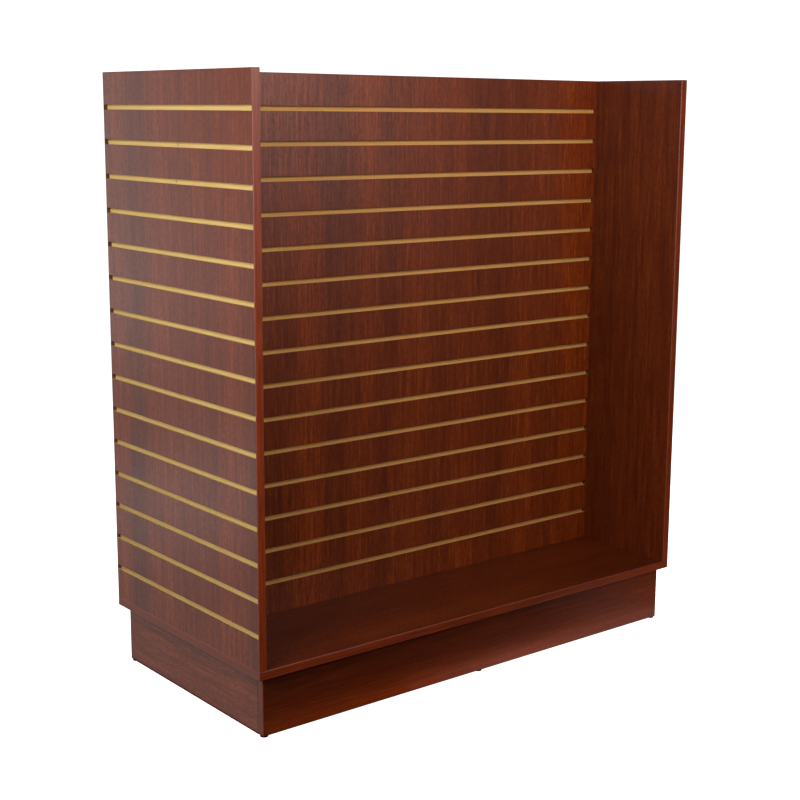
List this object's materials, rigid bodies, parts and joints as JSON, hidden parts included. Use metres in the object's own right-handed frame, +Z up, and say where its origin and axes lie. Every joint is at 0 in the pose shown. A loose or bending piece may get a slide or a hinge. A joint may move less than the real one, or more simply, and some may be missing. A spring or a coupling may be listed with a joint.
{
  "type": "slatwall display unit",
  "caption": "Freestanding four-way slatwall display unit, H-shaped in plan, with grooved end and centre panels on a deck with a recessed plinth, in cherry laminate.",
  "frame": {"origin": "middle of the footprint, on the floor under the glides", "axes": "+X along the length, to the right as seen from the front; -Y towards the front; +Z up"},
  "size_m": [1.2574, 0.6096, 1.3756],
  "materials": {
    "cherry_laminate": "satin",
    "cherry_edge_band": "satin",
    "raw_board": "matte",
    "balancing_sheet": "matte",
    "pine": "matte",
    "zinc_steel": "satin",
    "yellow_zinc_steel": "satin",
    "black_plastic": "matte"
  },
  "bodies": {
    "root": {"left_end_core": "raw_board", "left_end_slat_faces": "cherry_laminate", "left_end_inner_face": "cherry_laminate", "left_end_front_band": "cherry_edge_band", "left_end_back_band": "cherry_edge_band", "left_end_top_band": "cherry_edge_band", "right_end_core": "raw_board", "right_end_slat_faces": "cherry_laminate", "right_end_inner_face": "cherry_laminate", "right_end_front_band": "cherry_edge_band", "right_end_back_band": "cherry_edge_band", "right_end_top_band": "cherry_edge_band", "front_centre_core": "raw_board", "front_centre_slat_faces": "cherry_laminate", "front_centre_backer": "balancing_sheet", "front_centre_top_band": "cherry_edge_band", "back_centre_core": "raw_board", "back_centre_slat_faces": "cherry_laminate", "back_centre_backer": "balancing_sheet", "back_centre_top_band": "cherry_edge_band", "deck_board": "raw_board", "deck_top_face": "cherry_laminate", "deck_under_face": "balancing_sheet", "deck_front_band": "cherry_edge_band", "deck_back_band": "cherry_edge_band", "deck_left_band": "cherry_edge_band", "deck_right_band": "cherry_edge_band", "front_kick_board": "cherry_laminate", "back_kick_board": "cherry_laminate", "left_kick_board": "cherry_laminate", "right_kick_board": "cherry_laminate", "front_kick_end_bands": "cherry_edge_band", "back_kick_end_bands": "cherry_edge_band", "left_cross_rail": "pine", "right_cross_rail": "pine", "front_left_block": "pine", "front_right_block": "pine", "back_left_block": "pine", "back_right_block": "pine", "front_left_glide": "black_plastic", "front_middle_glide": "black_plastic", "front_right_glide": "black_plastic", "back_left_glide": "black_plastic", "back_middle_glide": "black_plastic", "back_right_glide": "black_plastic", "glide_nails": "zinc_steel", "left_foot_screws": "zinc_steel", "right_foot_screws": "zinc_steel", "centre_foot_screws": "zinc_steel", "block_side_screws": "zinc_steel", "block_deck_screws": "zinc_steel", "angle_braces": "zinc_steel", "brace_screws": "zinc_steel", "left_tie_screws": "yellow_zinc_steel", "right_tie_screws": "yellow_zinc_steel"}
  },
  "joints": []
}
